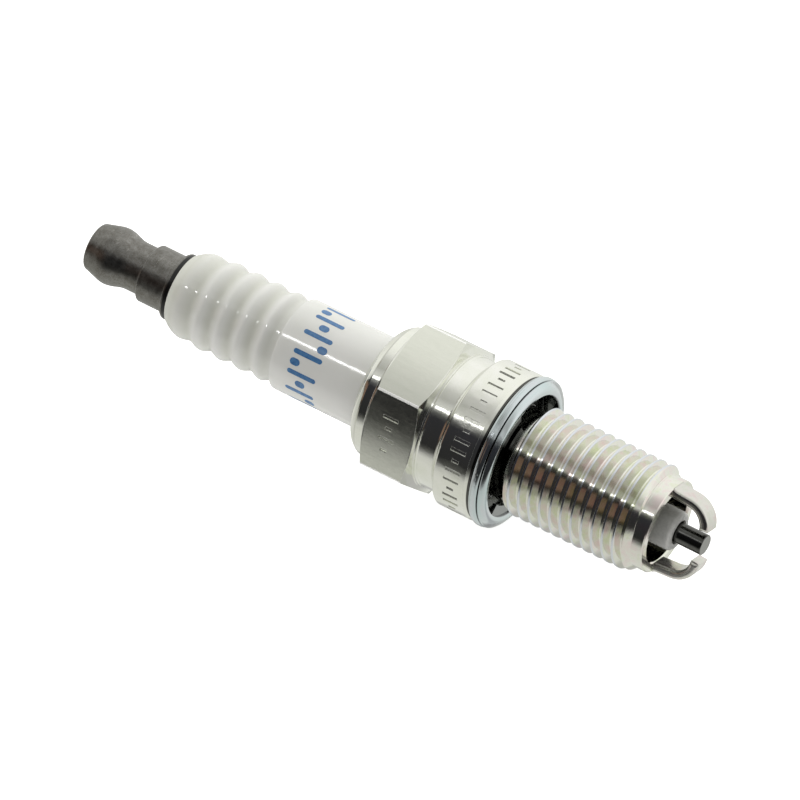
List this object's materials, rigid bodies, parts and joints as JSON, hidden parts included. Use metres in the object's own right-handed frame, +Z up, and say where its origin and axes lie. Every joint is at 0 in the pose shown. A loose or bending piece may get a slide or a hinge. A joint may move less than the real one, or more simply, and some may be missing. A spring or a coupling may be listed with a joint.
{
  "type": "spark plug",
  "caption": "Motorcycle spark plug with ribbed ceramic insulator, solid terminal, hexagon shell, crush gasket, threaded reach and a pair of side electrodes.",
  "frame": {"origin": "on the plug's axis, in the plane of the gasket's sealing face", "axes": "+X along the plug's axis towards the firing end; +Z up, normal to one flat of the hexagon, so the plug lies on the opposite flat"},
  "size_m": [0.0742, 0.0182, 0.0168],
  "materials": {
    "plated_shell": "satin",
    "electrode_alloy": "satin",
    "glazed_alumina": "gloss",
    "bare_steel": "satin",
    "talc": "matte",
    "centre_electrode_alloy": "satin",
    "copper": "satin",
    "conductive_glass": "satin",
    "resistor_body": "matte",
    "terminal_steel": "satin",
    "zinc_plated_steel": "satin"
  },
  "bodies": {
    "plug": {"metal_shell": "plated_shell", "ground_electrode_a": "electrode_alloy", "ground_electrode_b": "electrode_alloy", "insulator": "glazed_alumina", "seat_packing": "bare_steel", "packing_ring_lower": "bare_steel", "packing_ring_upper": "bare_steel", "talc_filling": "talc", "centre_electrode": "centre_electrode_alloy", "centre_electrode_core": "copper", "lower_glass_seal": "conductive_glass", "resistor": "resistor_body", "upper_glass_seal": "conductive_glass", "terminal_stud": "terminal_steel"},
    "gasket": {"gasket": "zinc_plated_steel"}
  },
  "joints": [
    {"name": "gasket_slide", "type": "slide", "parent": "plug", "child": "gasket", "axis": [1, 0, 0], "range_m": [-0.0001, 0.0011]}
  ]
}
